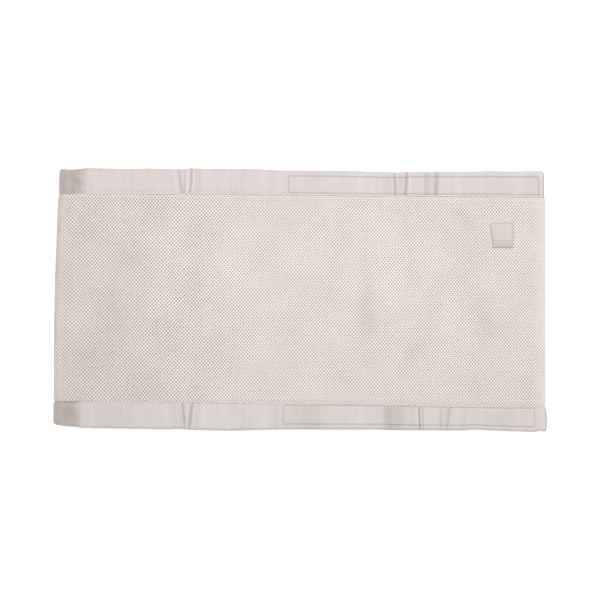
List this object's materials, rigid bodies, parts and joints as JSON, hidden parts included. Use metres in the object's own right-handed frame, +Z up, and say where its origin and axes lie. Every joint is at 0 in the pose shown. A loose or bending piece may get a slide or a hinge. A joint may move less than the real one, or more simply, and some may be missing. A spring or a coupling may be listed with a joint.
{
  "type": "playpen bumper",
  "caption": "Long padded playpen liner of beige spacer mesh with cloth edge bands, folded flat in layers, with a blank sewn label.",
  "frame": {"origin": "on the surface the folded bumper lies on, under the middle of its outline", "axes": "+X along the folded length from the left fold to the free end, +Y across the bumper towards its upper band, +Z up from the surface"},
  "size_m": [0.6, 0.3212, 0.0318],
  "materials": {
    "spacer_mesh": "matt warp-knitted spacer mesh with small staggered holes",
    "band_cotton": "smooth plain-woven cotton with a faint sheen",
    "label_cloth": "matt woven label"
  },
  "bodies": {
    "root": {"mesh_panel": "spacer_mesh", "band_top": "band_cotton", "band_bottom": "band_cotton", "label_patch": "label_cloth"}
  },
  "joints": []
}
